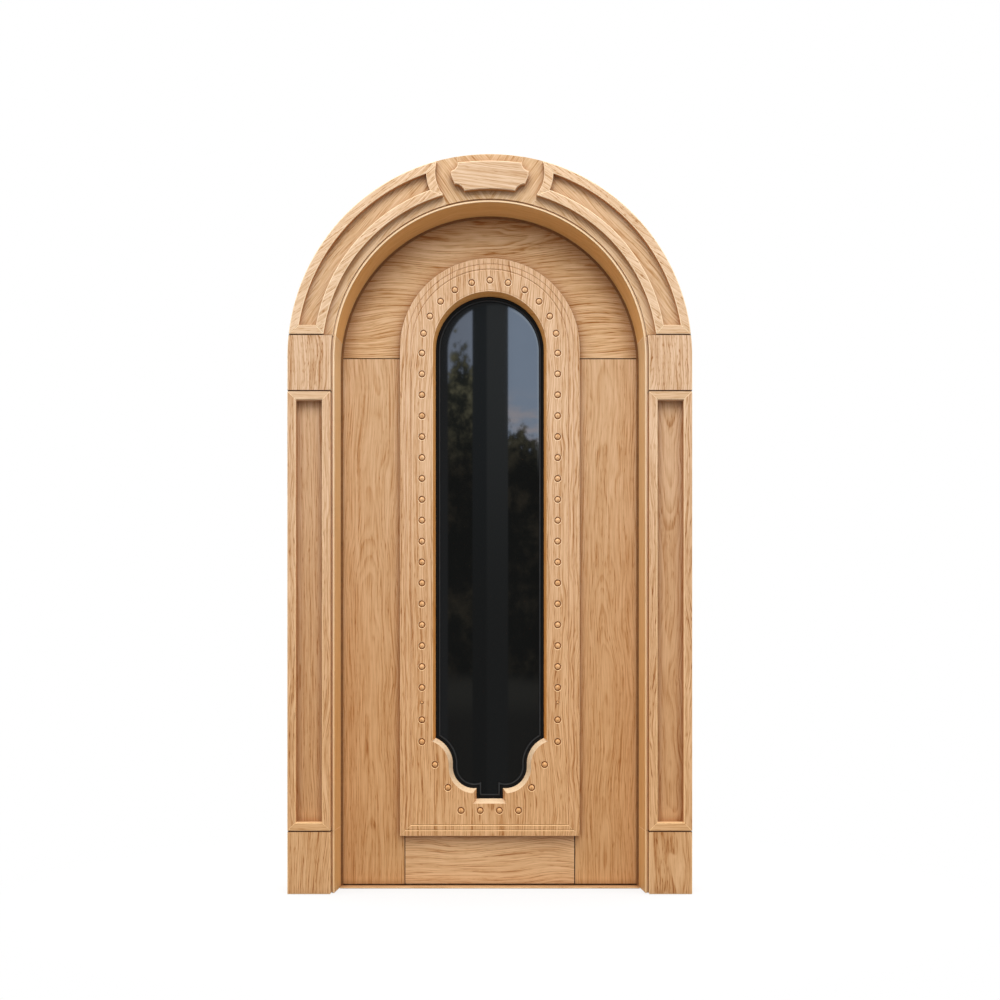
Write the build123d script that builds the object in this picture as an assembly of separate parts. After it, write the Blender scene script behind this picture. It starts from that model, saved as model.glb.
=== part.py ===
from build123d import *
import os
from math import cos, hypot, radians, sin, sqrt

# A round-headed entrance door of solid oak with its frame, casing and deep reveal lining.
# Millimetres. X runs across the doorway, Y into the building and Z up from the floor.
# Y = 0 is the closing plane, the outer face of the shut leaf.

# ---------------------------------------------------------------- driving dimensions
# Whole unit
overall_width = 1260
overall_height = 2310
wall_plane = -100          # the wall's outer face, which the casing lies on

# Casing round the doorway, on the wall's face
casing_width = 134
casing_thick = 45          # blocks, strips and plaque all finish in one plane
plinth_height = 195
impost_drop = 107          # impost block, below the springing of the arch
impost_rise = 67           # and above it
open_joint = 2             # fine shadow gap where a casing piece meets a block
field_thick = 18           # pilaster board, deeply sunk
strip_width = 27           # mitred strips round the pilaster board
strip_chamfer = 3
band_thick = 25            # arch boards, less sunk
rim_width = 28             # mitred strips on the arch
rim_inset = 26             # from the throat of the arch to its inner rim
end_curve_place = (58, 57) # centre of the curved end strips: out from the middle, below the crown
end_curve_radius = 112
key_lap = 14               # a keystone board runs this far under the strips
key_rise = 6               # and stands this far above the rims

# Plaque and crown boards
plaque_width = 242
plaque_height = 88
plaque_drop = 27           # top edge below the crown
plaque_corner = (21, 26)   # scooped upper corner, across and down
plaque_side = 16
plaque_taper = (11, 25)
plaque_foot = (31, 21)     # scooped lower corner, across and down
plaque_bow = 6
plaque_chamfer = 2.5
crown_width = 204
crown_corner = 16
crown_lap = 5

# Reveal lining
splay = 8                  # the lining closes in by this much towards the leaf
nose_width = 5
nose_back = 20             # the nose stands this far behind the casing's face
quirk = 5                  # groove between nose and casing
quirk_depth = 8            # behind the nose's front
lining_overlap = 22        # how far the lining covers the leaf's edge, as its stop
stop_gap = 3

# Frame that carries the leaf
post_width = 62
post_depth = 128
fixing_radius = 5
fixing_count = 3
fixing_pitch = 640
fixing_foot = 200
arch_segment_count = 4     # bent head and lining are built up from this many lengths
threshold_thick = 5
threshold_nose = 37
threshold_gap = 3
seal_width = 6
seal_clear = 0.3
wiper_depth = 6

# Leaf
leaf_thick = 68
swing_clear = 1            # left between the swinging corner and the lock-side post
rail_seam = 22             # joint of stiles and top rail, above the springing
stile_show = 191           # stile seen between the lining and the raised panel
top_show = 140             # top rail seen at the crown
foot_show = 158            # bottom rail seen below the raised panel
panel_proud = 25
panel_lap = 14             # the raised panel laps over stiles and rails
panel_play = 1             # seasonal movement round its body
panel_back = 23
inner_panel_thick = 23
field_fall = 1             # the panel's border falls away by this much
groove_insets = (18, 35)
groove_half = 2.5
groove_depth = 2.5

# Window in the panels, measured on the panel's face
window_border = 105
window_foot = 108          # sill of the notch above the panel's foot
notch_half = 50
notch_depth = 33
lobe_inset = 55            # waist of the opening, in from its straight sides
shoulder_radius = 84
shoulder_rise = 9
reveal_slope = 9           # the reveal narrows by this much towards the glass
glass_cover = 12
glass_thick = 4
glass_edge = 33            # black edge bar, inwards from the face outline
bead_width = 10            # rubber bead in the corner of reveal and glass
bead_height = 6
core_play = 3

# Turned buttons let into the raised panel
stud_inset = 70
stud_arc_count = 11
stud_arc_pitch = 15.5
stud_pitch = 66.8
stud_column_drop = 16
stud_column_foot = 474     # lowest of the long column, above the panel's foot
small_stud_height = 426
stud_pair_heights = (371, 301)
stud_row_height = 81
stud_row_half = 92
stud_radius = 7.5
stud_sink_radius = 10.5
small_stud_radius = 3.2
small_sink_radius = 5
stud_proud = 1
stud_sides = 8             # flats that stand for the turned round, to keep 59 of them light

# Lift-off hinges, on the left seen from outside
hinge_heights = (230, 815, 1400)
hinge_height = 102
hinge_width = 42
hinge_plate_thick = 2
hinge_setback = 9          # pin, behind the leaf's inner face
knuckle_radius = 7
knuckle_play = 0.4
pin_radius = 3.5
pin_clear = 0.05
pin_cover = 8              # metal left beyond the end of the pin

# Deadlock in the right stile, and its keep
lock_height = 940
lock_case = (90, 16, 165)  # depth, thickness, height
lock_wall = 1.5
lock_play = 0.5
backset = 60
faceplate = (22, 240, 3)   # width, height, thickness
bolt = (8, 30)             # thickness, height
bolt_length = 86
bolt_travel = 20
bolt_clear = 0.5
bolt_drop = 20             # middle of the bolt, below the spindle
keep_plate = (22, 110, 2.5)
keep_play = 1.5
cam_half = 7
cam_thick = 3
cam_pin_radius = 2
cam_pin_play = 0.5
spindle = 7
spindle_bore = 6
knob_size = (34, 12, 20)   # width, thickness, reach
rose_side = 52
rose_thick = 8
rose_chamfer = 2

# Pull handle on the room side
handle_height = 1240
handle_length = 320
handle_radius = 10
handle_reach = 52
handle_post = 14
handle_post_gap = 218

# ---------------------------------------------------------------- worked-out places
arch_crown = overall_height - key_rise
arch_z = arch_crown - overall_width / 2
impost_foot = arch_z - impost_drop
impost_head = arch_z + impost_rise
casing_outer = overall_width / 2
casing_inner = casing_outer - casing_width
face = wall_plane - casing_thick
lining_front = casing_inner - quirk - nose_width
opening_half = lining_front - splay
rebate_half = opening_half + lining_overlap
leaf_back = leaf_thick
pin_y = leaf_back + hinge_setback
edge_gap = hypot(2 * rebate_half, pin_y) - 2 * rebate_half + swing_clear
leaf_half = rebate_half - edge_gap
pin_x = (rebate_half + leaf_half) / 2
leaf_foot = threshold_thick + threshold_gap
rail_z = arch_z + rail_seam
panel_half = opening_half - stile_show
panel_foot = leaf_foot + foot_show
panel_spring = arch_z + opening_half - top_show - panel_half
panel_face = -panel_proud
inner_front = leaf_back - inner_panel_thick
window_half = panel_half - window_border
lobe_foot = panel_foot + window_foot + notch_depth
lobe_radius = window_half - lobe_inset - notch_half
lobe_z = lobe_foot + lobe_radius
shoulder_z = lobe_z + shoulder_rise
shoulder_x = notch_half + sqrt((lobe_radius + shoulder_radius) ** 2 - shoulder_rise ** 2)
glass_front = panel_back
glass_back = inner_front
end_curve_centre = (-end_curve_place[0], arch_crown - end_curve_place[1])
lock_x = leaf_half - backset
lock_y = leaf_thick / 2
lock_front = leaf_half - faceplate[2]
bolt_y = lock_y - (lock_case[1] - bolt[0]) / 2 + lock_wall + bolt_clear
bolt_z = lock_height - bolt_drop
cam_front = bolt_y + bolt[0] / 2 + bolt_clear
cam_throw = bolt_travel / sqrt(2)
knob_front = leaf_back + rose_thick + bolt_clear
fixing_y = lock_y
far = 4 * overall_height   # beyond everything, for cuts that run right through


# ---------------------------------------------------------------- helpers
def across(depth):
    """Plane across the doorway at one depth: a sketch's own X and Y become X and Z."""
    return Plane(origin=(0, depth, 0), x_dir=(1, 0, 0), z_dir=(0, -1, 0))


def slab(outline, front, back):
    """An outline drawn across the doorway, given its thickness along Y."""
    return extrude(across(front) * outline, amount=back - front, dir=(0, 1, 0))


def taper(front_outline, front, back_outline, back):
    """A solid with straight sloping sides between two like outlines."""
    return loft([(across(front) * front_outline).face(), (across(back) * back_outline).face()], ruled=True)


def block(x_range, y_range, z_range):
    """A box between two limits on each axis."""
    size = [high - low for low, high in (x_range, y_range, z_range)]
    middle = [(high + low) / 2 for low, high in (x_range, y_range, z_range)]
    return Pos(*middle) * Box(*size)


def between(low, high):
    """All the space between two heights."""
    return block((-far, far), (-far, far), (low, high))


def rect(x_range, z_range):
    """A rectangle across the doorway."""
    (left, right), (low, high) = x_range, z_range
    return Pos((left + right) / 2, (low + high) / 2) * Rectangle(right - left, high - low)


def span(middle, width):
    """The two limits of a width about its middle."""
    return middle - width / 2, middle + width / 2


def rod(x, z, radius, front, back):
    """A round bar along Y."""
    return Pos(x, (front + back) / 2, z) * Rot(90, 0, 0) * Cylinder(radius, back - front)


def mirrored(shape):
    """The same piece on the other side of the doorway."""
    return mirror(shape, about=Plane.YZ)


def arched(half, spring, foot):
    """Round-headed outline: straight sides up to the springing, then a half circle."""
    head = ThreePointArc((half, spring), (0, spring + half), (-half, spring))
    sides = Polyline((-half, spring), (-half, foot), (half, foot), (half, spring))
    return make_face(head + sides)


def section(inner, outer, front, back):
    """Rectangular section, radius by depth."""
    return Pos((inner + outer) / 2, (front + back) / 2) * Rectangle(outer - inner, back - front)


def surround(outline, foot=0):
    """A section, radius by depth, carried up the left side, round the head and up the right."""
    leg = extrude(Pos(0, 0, foot) * outline, amount=arch_z - foot)
    axis = Axis((0, 0, arch_z), (0, -1, 0))
    head = revolve(Pos(0, 0, arch_z) * outline, axis=axis, revolution_arc=180)
    return mirrored(leg), head, leg


def arch_segments(bend):
    """An arched piece as it is made up, from equal segments butted end to end."""
    turn = radians(180 / arch_segment_count)
    ends = [(far * cos(n * turn), arch_z + far * sin(n * turn)) for n in range(arch_segment_count + 1)]
    wedges = [make_face(Polyline((0, arch_z), *pair, (0, arch_z))) for pair in zip(ends, ends[1:])]
    return [(bend & slab(wedge, -far, far)).solid() for wedge in wedges]


def arc(centre, start, end):
    """The shorter arc about a centre between two points."""
    radius = hypot(start[0] - centre[0], start[1] - centre[1])
    x = (start[0] + end[0]) / 2 - centre[0]
    z = (start[1] + end[1]) / 2 - centre[1]
    reach = radius / hypot(x, z)
    return ThreePointArc(start, (centre[0] + x * reach, centre[1] + z * reach), end)


def save(node, *solids):
    """Writes one node; like pieces stay separate solids in it."""
    shape = solids[0] if len(solids) == 1 else Compound(children=list(solids))
    export_step(shape, "parts/" + node + ".step")


def save_pair(node, left, right):
    """Writes a left and a right piece."""
    save(node + "_left", left)
    save(node + "_right", right)


# ---------------------------------------------------------------- frame and threshold
def fixing_heights():
    return [fixing_foot + n * fixing_pitch for n in range(fixing_count)]


def frame_pieces():
    """Posts and the arched head: drilled for the wall, let in for hinges and keep."""
    outline = section(rebate_half, rebate_half + post_width, leaf_back - post_depth, leaf_back)
    left, head, right = surround(outline)
    drills = [Pos(0, fixing_y, z) * Rot(0, 90, 0) * Cylinder(fixing_radius, far) for z in fixing_heights()]
    left = left - drills - [hinge_flap(-1, z) for z in hinge_heights]
    right = right - drills - keep_blank() - bolt_pocket()
    return left, head, right


def threshold():
    """Low oak sill between the posts, its thin nose running out between the linings."""
    body = block(span(0, 2 * rebate_half), (-stop_gap, leaf_back), (0, threshold_thick))
    nose = block(span(0, 2 * opening_half), (-threshold_nose, -stop_gap), (0, threshold_thick))
    sill = body + nose
    arris = sill.edges().filter_by(Axis.X).group_by(Axis.Y)[0].sort_by(Axis.Z)[-1]
    return chamfer(arris, threshold_thick / 2)


# ---------------------------------------------------------------- reveal lining
def lining_section():
    """Splayed board with a narrow nose, and a quirk between the nose and the casing."""
    tip, shoulder = face + nose_back, face + nose_back + quirk_depth
    points = [(lining_front, tip), (lining_front + nose_width, tip), (lining_front + nose_width, shoulder),
              (casing_inner, shoulder), (casing_inner, wall_plane), (rebate_half, wall_plane),
              (rebate_half, -stop_gap), (opening_half, -stop_gap)]
    return make_face(Polyline(*points, points[0]))


def lining_pieces():
    """Plinth lengths, jamb lengths and the bent head of the lining."""
    left, head, right = surround(lining_section())
    whole = left + head + right
    return [whole & between(*levels) for levels in
            ((0, plinth_height), (plinth_height, impost_head), (impost_head, overall_height))]


def weather_seal():
    """Rubber strip on the lining's end, which the shut leaf all but touches."""
    middle = (opening_half + leaf_half) / 2
    left, head, right = surround(section(*span(middle, seal_width), -stop_gap, -seal_clear), threshold_thick)
    return (left + head + right).solid()


# ---------------------------------------------------------------- casing
def casing_ring(rise=0):
    """Flat round-headed ring that the casing is cut from; the keystone boards rise above it."""
    return arched(casing_outer + rise, arch_z, 0) - arched(casing_inner, arch_z, -1)


def casing_blocks():
    """Plinth and impost blocks; the imposts follow the curve above the springing."""
    ring = slab(casing_ring(), face, wall_plane)
    return ring & between(0, plinth_height), ring & between(impost_foot, impost_head)


def pilaster():
    """Right pilaster: its sunk board, then mitred strips at foot, outside, head and inside."""
    low, high = plinth_height + open_joint, impost_foot - open_joint
    front = wall_plane - field_thick
    board = block((casing_inner, casing_outer), (front, wall_plane), (low, high))
    outer = corners((casing_inner, casing_outer), (low, high))
    inner = corners((casing_inner + strip_width, casing_outer - strip_width),
                    (low + strip_width, high - strip_width))
    strips = []
    for n in range(4):
        m = (n + 1) % 4
        outline = make_face(Polyline(outer[n], outer[m], inner[m], inner[n], outer[n]))
        strip = slab(outline, face, front)
        middle = Vector((inner[n][0] + inner[m][0]) / 2, face, (inner[n][1] + inner[m][1]) / 2)
        arris = strip.edges().sort_by_distance(middle)[0]
        strips.append(chamfer(arris, strip_chamfer))
    return board, strips


def corners(x_range, z_range):
    """Corners of a rectangle, from lower left, anticlockwise."""
    (left, right), (low, high) = x_range, z_range
    return [(left, low), (right, low), (right, high), (left, high)]


def end_curve_meets(radius, end_radius):
    """Where a rim's circle crosses the curve of the left end strip, on the field's side."""
    x, z = end_curve_centre[0], end_curve_centre[1] - arch_z
    gap = hypot(x, z)
    along = (radius ** 2 - end_radius ** 2 + gap ** 2) / (2 * gap)
    off = sqrt(radius ** 2 - along ** 2)
    return (along * x - off * z) / gap, arch_z + (along * z + off * x) / gap


def arch_corners(outer_radius, inner_radius, end_radius, foot):
    """Corners of the left arch frame: top outer, top inner, foot inner, foot outer."""
    radii = (outer_radius, inner_radius)
    top = [end_curve_meets(radius, end_radius) for radius in radii]
    low = [(-sqrt(radius ** 2 - (foot - arch_z) ** 2), foot) for radius in reversed(radii)]
    return top + low


def arch_strips():
    """Mitred strips of the left arch frame: outer rim, curved end, inner rim and foot."""
    centre = (0, arch_z)
    foot = impost_head + open_joint
    rim_inner = casing_inner + rim_inset
    a, b, c, d = arch_corners(casing_outer, rim_inner, end_curve_radius, foot)
    e, f, g, h = arch_corners(casing_outer - rim_width, rim_inner + rim_width,
                              end_curve_radius + rim_width, foot + rim_width)
    outer = arc(centre, d, a) + Line(a, e) + arc(centre, e, h) + Line(h, d)
    end = arc(end_curve_centre, a, b) + Line(b, f) + arc(end_curve_centre, f, e) + Line(e, a)
    inner = arc(centre, b, c) + Line(c, g) + arc(centre, g, f) + Line(f, b)
    low = Polyline(c, d, h, g, c)
    return [slab(make_face(outline), face, wall_plane - band_thick) for outline in (outer, end, inner, low)]


def arch_boards():
    """Left band board, left keystone board and left half of the crown board."""
    half = rect((-casing_outer, 0), (impost_head + open_joint, overall_height))
    ring, key_ring = casing_ring() & half, casing_ring(key_rise) & half
    x, z = end_curve_meets(casing_inner + rim_inset, end_curve_radius)
    lean = x / (z - arch_z) * (far - arch_z)
    wedge = make_face(Polyline((0, arch_z), (0, far), (lean, far), (0, arch_z)))
    end_disc = Pos(*end_curve_centre) * Circle(end_curve_radius + key_lap)
    throat = Pos(0, arch_z) * Circle(casing_inner + rim_inset + key_lap)
    key_zone = (wedge & key_ring) + ((end_disc & key_ring) - throat)
    crown_foot = arch_crown - plaque_drop - crown_lap
    crown = rect(span(0, crown_width), (crown_foot, overall_height + crown_corner))
    crown = fillet(crown.vertices().group_by(Axis.Y)[0], crown_corner)
    front = wall_plane - band_thick
    outlines = (ring - key_zone, key_zone - crown, key_zone & crown)
    return [slab(outline, front, wall_plane).solid() for outline in outlines]


def plaque():
    """Blank plaque: bowed top and foot, scooped corners and sides that taper downwards."""
    top, half = arch_crown - plaque_drop, plaque_width / 2
    points = [(half - plaque_corner[0], top), (half, top - plaque_corner[1])]
    points.append((half, points[-1][1] - plaque_side))
    points.append((half - plaque_taper[0], points[-1][1] - plaque_taper[1]))
    points.append((points[-1][0] - plaque_foot[0], top - plaque_height))
    edges = SagittaArc((-points[0][0], top), points[0], plaque_bow)
    edges += SagittaArc((-points[4][0], points[4][1]), points[4], plaque_bow)
    for side in (1, -1):
        a, b, c, d, e = [(side * x, z) for x, z in points]
        bow = -side * plaque_bow
        edges += SagittaArc(a, b, bow) + Polyline(b, c, d) + SagittaArc(d, e, bow)
    board = slab(make_face(edges), face, wall_plane - band_thick)
    return chamfer(board.faces().sort_by(Axis.Y)[0].edges(), plaque_chamfer)


# ---------------------------------------------------------------- leaf: its frame
def panel_outline(inset):
    """Outline of the raised panel, drawn in from its edge."""
    return arched(panel_half - inset, panel_spring, panel_foot + inset)


def leaf_frame():
    """Left and right stile, arched top rail and bottom rail round the panels' opening."""
    whole = arched(leaf_half, arch_z, leaf_foot) - panel_outline(panel_lap)
    middle = panel_half - panel_lap
    zones = [rect((-leaf_half, -middle), (0, rail_z)), rect((middle, leaf_half), (0, rail_z)),
             rect(span(0, 2 * leaf_half), (rail_z, overall_height)),
             rect(span(0, 2 * middle), (0, panel_foot + panel_lap))]
    left, right, top, low = [slab(whole & zone, 0, leaf_back) for zone in zones]
    wiper = bottom_seal()
    left = left - [hinge_flap(1, z) for z in hinge_heights] - wiper
    lock_cuts = [lock_mortise(), faceplate_blank(), rod(lock_x, lock_height, spindle_bore, lock_y, far)]
    right = right - lock_cuts - wiper
    return left, right, top, low - wiper


def bottom_seal():
    """Rubber wiper in a groove under the leaf, just clear of the threshold."""
    return block(span(0, 2 * (leaf_half - seal_width)), span(lock_y, seal_width),
                 (threshold_thick + seal_clear, leaf_foot + wiper_depth))


# ---------------------------------------------------------------- leaf: panels and glass
def window_outline(inset):
    """Round head, straight sides, hollow shoulders, round lobes and a square notch at the foot."""
    half, notch = window_half - inset, notch_half - inset
    lobe, shoulder = lobe_radius - inset, shoulder_radius + inset
    cusp = (half, shoulder_z + sqrt(shoulder ** 2 - (shoulder_x - half) ** 2))
    share = lobe / (lobe_radius + shoulder_radius)
    waist = (notch_half + (shoulder_x - notch_half) * share, lobe_z + shoulder_rise * share)
    tip = (notch, lobe_z - sqrt(lobe ** 2 - inset ** 2))
    foot = (notch, panel_foot + window_foot + inset)
    edges = ThreePointArc((half, panel_spring), (0, panel_spring + half), (-half, panel_spring))
    edges += Line(foot, (-notch, foot[1]))
    for side in (1, -1):
        a, b, c, d, e = [(side * x, z) for x, z in ((half, panel_spring), cusp, waist, tip, foot)]
        edges += Line(a, b) + arc((side * shoulder_x, shoulder_z), b, c)
        edges += arc((side * notch_half, lobe_z), c, d) + Line(d, e)
    return make_face(edges)


def reveal():
    """The window's sloped cut through the raised panel."""
    return taper(window_outline(0), panel_face, window_outline(reveal_slope), panel_back)


def groove(inset):
    """V groove that follows the panel's edge, mitred at the two lower corners."""
    deep = panel_face + groove_depth
    outside = taper(panel_outline(inset - groove_half), panel_face, panel_outline(inset), deep)
    inside = taper(panel_outline(inset + groove_half), panel_face, panel_outline(inset), deep)
    return outside - inside


def outer_panel():
    """Raised panel: lap over the frame, body between the stiles, sloped window and grooves."""
    edge = panel_face + field_fall
    border = taper(panel_outline(groove_insets[-1]), panel_face, panel_outline(0), edge)
    lap = slab(panel_outline(0), edge, 0)
    body = slab(panel_outline(panel_lap + panel_play), 0, panel_back)
    panel = border + lap + body - reveal() - [groove(inset) for inset in groove_insets]
    return panel - [countersink(x, z, large) for x, z, large in stud_points()]


def inner_panel():
    """Flush panel on the room side, its window sloped the other way."""
    board = slab(panel_outline(panel_lap + panel_play), inner_front, leaf_back)
    return board - taper(window_outline(reveal_slope), inner_front, window_outline(0), leaf_back)


def glass_outline(play):
    """Plain round-headed outline of the glass unit, which the cusped windows show only in part."""
    cover = glass_cover - reveal_slope + play
    return arched(window_half + cover, panel_spring, panel_foot + window_foot - cover)


def core_board():
    """Board between the two panels, cut out round the glass."""
    outline = panel_outline(panel_lap + panel_play) - glass_outline(core_play)
    return slab(outline, panel_back, inner_front)


def glazing():
    """Two panes held between the panels, with the black edge bar between them."""
    pane = glass_outline(0)
    outer = slab(pane, glass_front, glass_front + glass_thick)
    inner = slab(pane, glass_back - glass_thick, glass_back)
    bar = slab(pane - window_outline(glass_edge), glass_front + glass_thick, glass_back - glass_thick)
    return outer, inner, bar


def glazing_bead():
    """Rubber bead that slopes from the reveal down to the outer pane."""
    front = glass_front - bead_height
    corner = reveal() & slab(Rectangle(far, far), front, glass_front)
    return corner - taper(window_outline(0), front, window_outline(reveal_slope + bead_width), glass_front)


# ---------------------------------------------------------------- leaf: buttons
def stud_points():
    """Every button's centre and kind: round the arch, down the sides and round the window's foot."""
    path = panel_half - stud_inset
    points = []
    for n in range(stud_arc_count):
        angle = radians((n - (stud_arc_count - 1) / 2) * stud_arc_pitch)
        points.append((path * sin(angle), panel_spring + path * cos(angle), True))
    top, low = panel_spring - stud_column_drop, panel_foot + stud_column_foot
    count = round((top - low) / stud_pitch) + 1
    column = [(path, top - n * (top - low) / (count - 1), True) for n in range(count)]
    column.append((path, panel_foot + small_stud_height, False))
    column += [(path, panel_foot + height, True) for height in stud_pair_heights]
    turn_z, row_z = column[-1][1], panel_foot + stud_row_height
    for share in (1 / 3, 2 / 3, 1):
        column.append((path + (stud_row_half - path) * share, turn_z + (row_z - turn_z) * share, True))
    column.append((stud_row_half / 3, row_z, True))
    for side in (-1, 1):
        points += [(side * x, z, large) for x, z, large in column]
    return points


def spike(x, z, radius, base, tip):
    """A many-sided cone along Y, from its rim to its tip."""
    rim = across(base) * Pos(x, z) * RegularPolygon(radius, stud_sides)
    return loft([rim.face(), Vertex(x, tip, z)])


def countersink(x, z, large):
    """Seat of one button: a right-angled countersink in the panel's face."""
    radius = stud_sink_radius if large else small_sink_radius
    return spike(x, z, radius, panel_face, panel_face + radius)


def stud(x, z, large):
    """One button: it fills the foot of its countersink and rises to a low point."""
    sink = stud_sink_radius if large else small_sink_radius
    radius = stud_radius if large else small_stud_radius
    rim = panel_face + sink - radius
    return spike(x, z, radius, rim, panel_face + sink) + spike(x, z, radius, rim, panel_face - stud_proud)


# ---------------------------------------------------------------- hinges
def hinge_flap(hand, height):
    """Flat flap let into the post (hand -1) or the leaf's edge (hand +1); its mortise is the same."""
    start = hand * (rebate_half - pin_x)
    x_range = sorted((start, start + hand * hinge_plate_thick))
    y_range = (leaf_back - hinge_width, leaf_back)
    return Pos(-pin_x, 0, 0) * block(x_range, y_range, span(height, hinge_height))


def hinge_plate(hand, height):
    """Flap and knuckle; the post's knuckle stands below, the leaf's above."""
    start = hand * (rebate_half - pin_x)
    x_range = sorted((start, start + hand * hinge_plate_thick))
    z_range = sorted((hand * knuckle_play / 2, hand * hinge_height / 2))
    middle, tall = sum(z_range) / 2, z_range[1] - z_range[0]
    web = block(x_range, (-hinge_setback, 0), z_range)
    knuckle = web + Pos(0, 0, middle) * Cylinder(knuckle_radius, tall)
    return hinge_flap(hand, height) + Pos(-pin_x, pin_y, height) * knuckle


def hinge_pin(height, clear=0):
    """Pin on the post's knuckle that the leaf's knuckle drops over; with clearance, its bore."""
    low, high = -knuckle_play / 2, hinge_height / 2 - pin_cover + clear
    return Pos(-pin_x, pin_y, height + (low + high) / 2) * Cylinder(pin_radius + clear, high - low)


# ---------------------------------------------------------------- deadlock
def lock_case_walls():
    """Folded steel case, open towards the faceplate, with a hole for the spindle."""
    depth, thick, height = lock_case
    outer = block((lock_front - depth, lock_front), span(lock_y, thick), span(lock_height, height))
    inner = block((lock_front - depth + lock_wall, lock_front), span(lock_y, thick - 2 * lock_wall),
                  span(lock_height, height - 2 * lock_wall))
    return outer - inner - rod(lock_x, lock_height, spindle_bore, lock_y, lock_y + thick)


def lock_mortise():
    """Pocket for the case in the stile, with a little play behind, above and below."""
    depth, thick, height = lock_case
    return block((lock_front - depth - lock_play, lock_front), span(lock_y, thick),
                 span(lock_height, height + 2 * lock_play))


def faceplate_blank():
    width, height, thick = faceplate
    return block((leaf_half - thick, leaf_half), span(lock_y, width), span(lock_height, height))


def lock_faceplate():
    """Plate on the leaf's edge, with a slot that the bolt slides through."""
    slot = block((lock_front, leaf_half), span(bolt_y, bolt[0] + 2 * bolt_clear),
                 span(bolt_z, bolt[1] + 2 * bolt_clear))
    return faceplate_blank() - slot


def keep_blank():
    width, height, thick = keep_plate
    return block((rebate_half, rebate_half + thick), span(lock_y, width), span(bolt_z, height))


def bolt_pocket():
    """Room in the right post for the thrown bolt."""
    return block((rebate_half, rebate_half + bolt_travel + keep_play), span(bolt_y, bolt[0] + 2 * keep_play),
                 span(bolt_z, bolt[1] + 2 * keep_play))


def deadbolt():
    """Bolt drawn back flush with the faceplate, its tail slotted for the cam pin."""
    tip = leaf_half - bolt_clear
    body = block((tip - bolt_length, tip), span(bolt_y, bolt[0]), span(bolt_z, bolt[1]))
    slot_foot = lock_height - cam_throw - cam_pin_radius - cam_pin_play
    slot = block(span(lock_x - bolt_travel / 2, 2 * (cam_pin_radius + 2 * cam_pin_play)),
                 span(bolt_y, far), (slot_foot, lock_height))
    return body - slot


def lock_cam():
    """Lever on the spindle whose pin stands in the bolt's slot and draws it through a quarter turn."""
    x, z = lock_x - bolt_travel / 2, lock_height - bolt_travel / 2
    lever = Rectangle(cam_throw + 2 * cam_half, 2 * cam_half, rotation=45)
    lever = Pos((lock_x + x) / 2, (lock_height + z) / 2) * lever
    pin = rod(x, z, cam_pin_radius, bolt_y - bolt[0] / 2 + bolt_clear, cam_front)
    return slab(lever, cam_front, cam_front + cam_thick) + pin - spindle_bar()


def spindle_bar():
    """Square spindle from the cam to the knob."""
    return block(span(lock_x, spindle), (cam_front, knob_front), span(lock_height, spindle))


def thumb_turn():
    """Turn knob on its spindle, level while the bolt is drawn back."""
    width, thick, reach = knob_size
    neck = knob_front + reach / 3
    collar = block(span(lock_x, thick), (knob_front, neck), span(lock_height, thick))
    wing = block(span(lock_x, width), (neck, knob_front + reach), span(lock_height, thick))
    wing = chamfer(wing.edges().filter_by(Axis.Z).group_by(Axis.Y)[-1], reach / 3)
    return spindle_bar() + collar + wing


def turn_rose():
    """Square rose under the turn, bored to clear the spindle."""
    front = leaf_back + rose_thick
    rose = block(span(lock_x, rose_side), (leaf_back, front), span(lock_height, rose_side))
    rose = chamfer(rose.faces().sort_by(Axis.Y)[-1].edges(), rose_chamfer)
    return rose - rod(lock_x, lock_height, spindle_bore, leaf_back, front)


def pull_handle():
    """Straight round bar on two square posts, on the room side."""
    y = leaf_back + handle_reach
    bar = Pos(lock_x, y, handle_height) * Cylinder(handle_radius, handle_length)
    for z in span(handle_height, handle_post_gap):
        bar += block(span(lock_x, handle_post), (leaf_back, y), span(z, handle_post))
    return bar


# ---------------------------------------------------------------- build
def build_surround():
    left, head, right = frame_pieces()
    save_pair("frame_post", left, right)
    save("frame_head", *arch_segments(head))
    save("threshold", threshold())
    low, jambs, top = lining_pieces()
    save("plinth_linings", *low.solids())
    save_pair("jamb_lining", *jambs.solids().sort_by(Axis.X))
    save("arch_lining", *arch_segments(top))
    save("weather_seal", weather_seal())
    save("keep_plate", keep_blank() - bolt_pocket())


def build_casing():
    plinths, imposts = casing_blocks()
    save_pair("plinth_block", *plinths.solids().sort_by(Axis.X))
    save_pair("impost_block", *imposts.solids().sort_by(Axis.X))
    board, (foot, outside, head, inside) = pilaster()
    save_pair("pilaster_board", mirrored(board), board)
    for name, pair in (("pilaster_uprights", (outside, inside)), ("pilaster_end_strips", (head, foot))):
        save(name + "_left", *[mirrored(strip) for strip in pair])
        save(name + "_right", *pair)
    outer, end, inner, foot = arch_strips()
    band, keystone, crown = arch_boards()
    for name, piece in (("arch_bands", band), ("keystone_boards", keystone), ("arch_outer_rims", outer),
                        ("arch_inner_rims", inner), ("arch_end_strips", end), ("arch_foot_strips", foot),
                        ("crown_boards", crown)):
        save(name, piece, mirrored(piece))
    save("plaque", plaque())


def build_leaf():
    left, right, top, low = leaf_frame()
    save_pair("stile", left, right)
    save("top_rail", top)
    save("bottom_rail", low)
    save("bottom_seal", bottom_seal())
    save("outer_panel", outer_panel())
    save("core_board", core_board())
    save("inner_panel", inner_panel())
    save("stud_buttons", *[stud(*point) for point in stud_points()])
    outer, inner, bar = glazing()
    save("glass_outer", outer)
    save("glass_inner", inner)
    save("glass_edge_bar", bar)
    save("glazing_bead", glazing_bead())


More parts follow.
